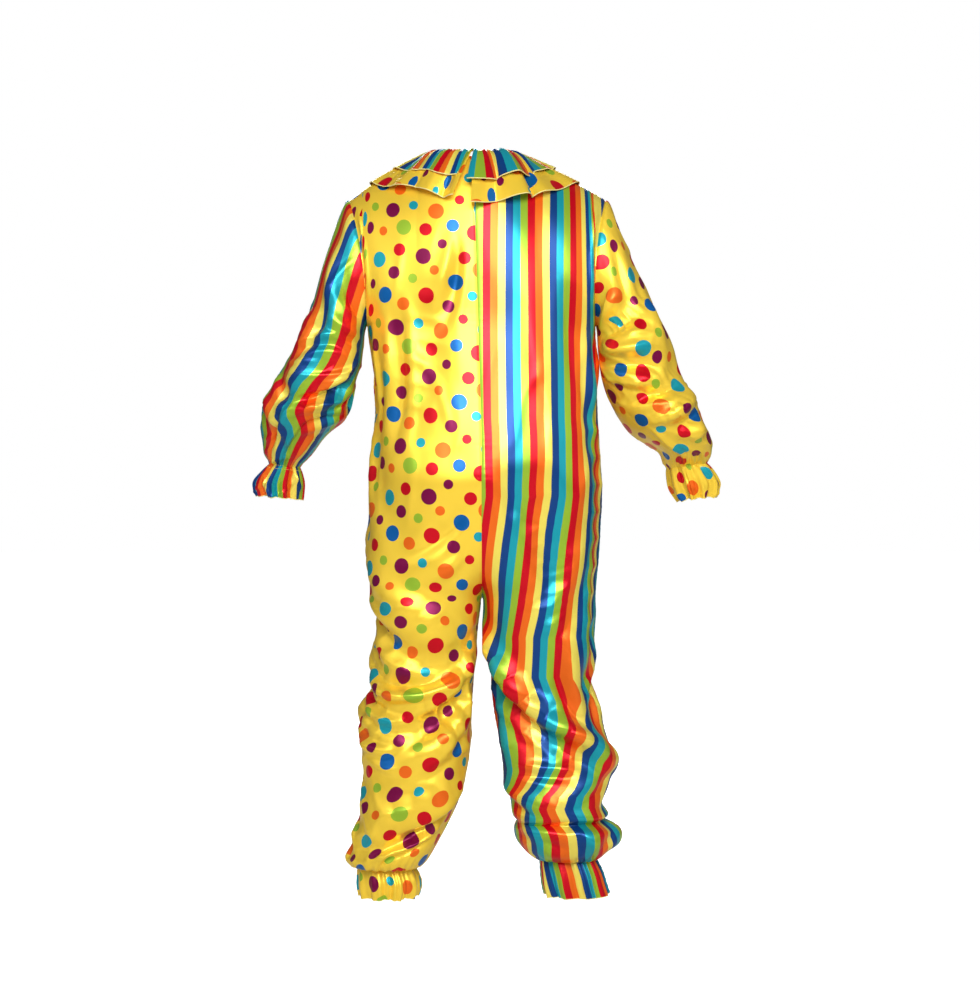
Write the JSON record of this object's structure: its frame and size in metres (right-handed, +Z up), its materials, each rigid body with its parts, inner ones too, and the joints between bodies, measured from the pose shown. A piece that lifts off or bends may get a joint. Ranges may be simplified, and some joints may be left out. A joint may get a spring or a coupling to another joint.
{
  "type": "clown jumpsuit",
  "caption": "One-piece costume in two satins, worn and empty: one half dotted and one striped, with changed sleeves, neck ruffles and gathered wrists and ankles.",
  "frame": {"origin": "middle of the shoulder line, inside the neck opening, where the wearer's shoulders carry the suit", "axes": "+Z up, the front of the suit faces -Y, and the wearer's left hand is at +X"},
  "size_m": [0.9432, 0.3414, 1.4611],
  "materials": {
    "dotted_satin": "yellow polyester satin printed with round dots in red, orange, plum, blue, teal and lime",
    "striped_satin": "polyester satin printed with stripes of red, orange, yellow, navy, teal and lime"
  },
  "bodies": {
    "root": {"back_left": "dotted_satin", "front_left": "dotted_satin", "back_right": "striped_satin", "front_right": "striped_satin", "sleeve_left": "striped_satin", "sleeve_right": "dotted_satin", "ruffle_lower": "dotted_satin", "ruffle_upper": "striped_satin"}
  },
  "joints": []
}
